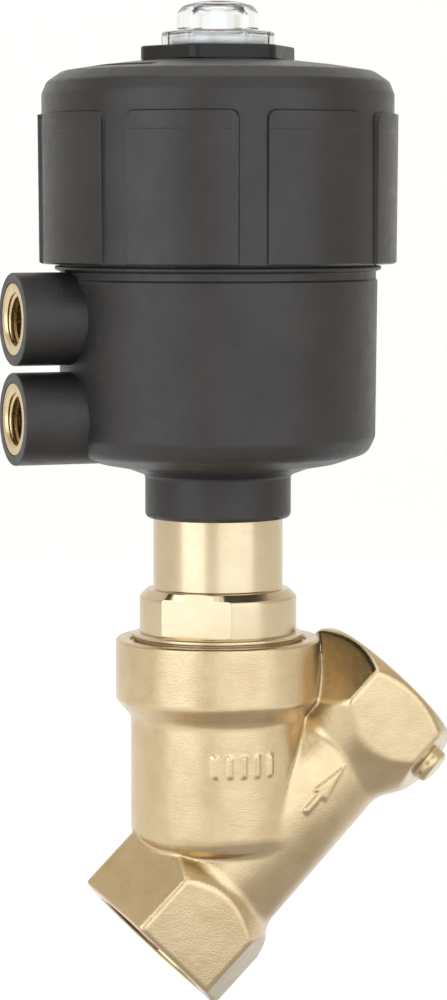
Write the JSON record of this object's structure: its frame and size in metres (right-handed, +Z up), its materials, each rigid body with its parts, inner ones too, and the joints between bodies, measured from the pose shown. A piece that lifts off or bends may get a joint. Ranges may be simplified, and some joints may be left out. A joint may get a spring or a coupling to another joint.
{
  "type": "pneumatic actuated valve",
  "caption": "Angle seat valve with threaded hexagon pipe ends, a plain turned bonnet and a round spring-closed pneumatic actuator with two pilot ports and a clear indicator cap",
  "frame": {"origin": "centre of the inlet mouth, on the hexagon's end face", "axes": "+Z up, parallel to the actuator's axis; the pipe's axis lies in the XZ plane at 45 degrees, from the inlet up to the outlet at +X; -Y is the front"},
  "size_m": [0.115, 0.0888, 0.25],
  "materials": {
    "cast_brass": "sand-cast, fine grain",
    "polished_brass": "turned and polished",
    "insert_brass": "machined, tapped",
    "bronze": "sintered",
    "steel": "machined",
    "spring_steel": "drawn wire",
    "graphite": "matt",
    "rubber": "matt",
    "silicone": "translucent white",
    "ptfe": "smooth white",
    "black_housing_plastic": "fine spark-eroded texture",
    "black_cover_plastic": "fine texture, slight sheen",
    "black_bushing_plastic": "satin",
    "piston_plastic": "moulded",
    "indicator_plastic": "gloss",
    "clear_plastic": "clear polycarbonate, moulded"
  },
  "bodies": {
    "valve_body": {"valve_casting": "cast_brass", "bonnet_gasket": "graphite", "bonnet": "polished_brass", "bonnet_o_ring": "rubber", "bonnet_retaining_nut": "steel", "packing_support_ring": "ptfe", "packing_ring_1": "ptfe", "packing_ring_2": "ptfe", "packing_ring_3": "ptfe", "packing_follower": "steel", "packing_spring": "spring_steel", "gland_nut": "polished_brass", "stem_guide_bush": "bronze", "rod_o_ring": "rubber", "bush_circlip": "spring_steel", "stem_wiper": "ptfe"},
    "actuator": {"actuator_housing": "black_housing_plastic", "actuator_cover": "black_cover_plastic", "upper_port_insert": "insert_brass", "lower_port_insert": "insert_brass", "cover_o_ring": "rubber", "spring_seat_washer": "steel", "main_spring": "spring_steel", "indicator_bushing": "black_bushing_plastic", "indicator_rod_o_ring": "rubber"},
    "stem": {"stem": "steel", "piston": "piston_plastic", "piston_lip_seal": "rubber", "piston_guide_ring": "ptfe", "piston_washer": "steel", "piston_nut": "steel", "stem_o_ring": "rubber", "indicator_rod": "indicator_plastic"},
    "plug": {"plug": "steel", "plug_pins": "steel", "seat_seal": "ptfe", "seal_clamp_washer": "steel", "plug_nut": "steel"},
    "indicator_cap_seal": {"indicator_cap_o_ring": "silicone"},
    "indicator_cap": {"indicator_cap": "clear_plastic"}
  },
  "joints": [
    {"name": "actuator_swivel", "type": "hinge", "parent": "valve_body", "child": "actuator", "pos_m": [0.01768, 0, 0.12068], "axis": [0, 0, 1], "continuous": true},
    {"name": "stem_stroke", "type": "slide", "parent": "actuator", "child": "stem", "axis": [0, 0, 1], "range_m": [0, 0.009], "stiffness_N_per_m": 12450, "springref_m": -0.025, "deforming": ["main_spring"]},
    {"name": "plug_swivel", "type": "hinge", "parent": "stem", "child": "plug", "pos_m": [0.01768, 0, 0.04488], "axis": [0, 0, 1], "continuous": true},
    {"name": "indicator_cap_unscrew", "type": "hinge", "parent": "actuator", "child": "indicator_cap_seal", "pos_m": [0.01768, 0, 0.22278], "axis": [0, 0, 1], "range_deg": [0, 1800]},
    {"name": "indicator_cap_lift", "type": "slide", "parent": "indicator_cap_seal", "child": "indicator_cap", "axis": [0, 0, 1], "range_m": [0, 0.0075]}
  ],
  "couplings": [
    {"joint": "indicator_cap_lift", "follows": "indicator_cap_unscrew", "m_per_rad": 0.00023873}
  ]
}
